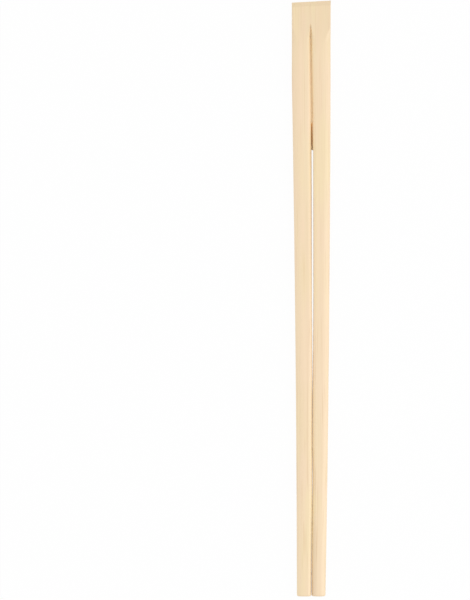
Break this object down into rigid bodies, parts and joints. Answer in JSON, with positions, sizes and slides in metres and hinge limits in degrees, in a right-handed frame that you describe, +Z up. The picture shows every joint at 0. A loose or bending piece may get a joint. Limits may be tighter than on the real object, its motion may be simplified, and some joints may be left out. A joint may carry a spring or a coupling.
{
  "type": "bamboo chopsticks",
  "caption": "Disposable bamboo chopsticks joined at the head: tapered rounded sticks either side of a grooved seam, with a saw cut and slit between them.",
  "frame": {"origin": "centre of the bounding box at its base, the surface that the pair lies on", "axes": "+Y along the pair from the tips towards the joined head, +X across it, +Z up out of the broad face"},
  "size_m": [0.015, 0.23, 0.005],
  "materials": {
    "bamboo": "matte"
  },
  "bodies": {
    "root": {"chopstick_pair": "bamboo"}
  },
  "joints": []
}
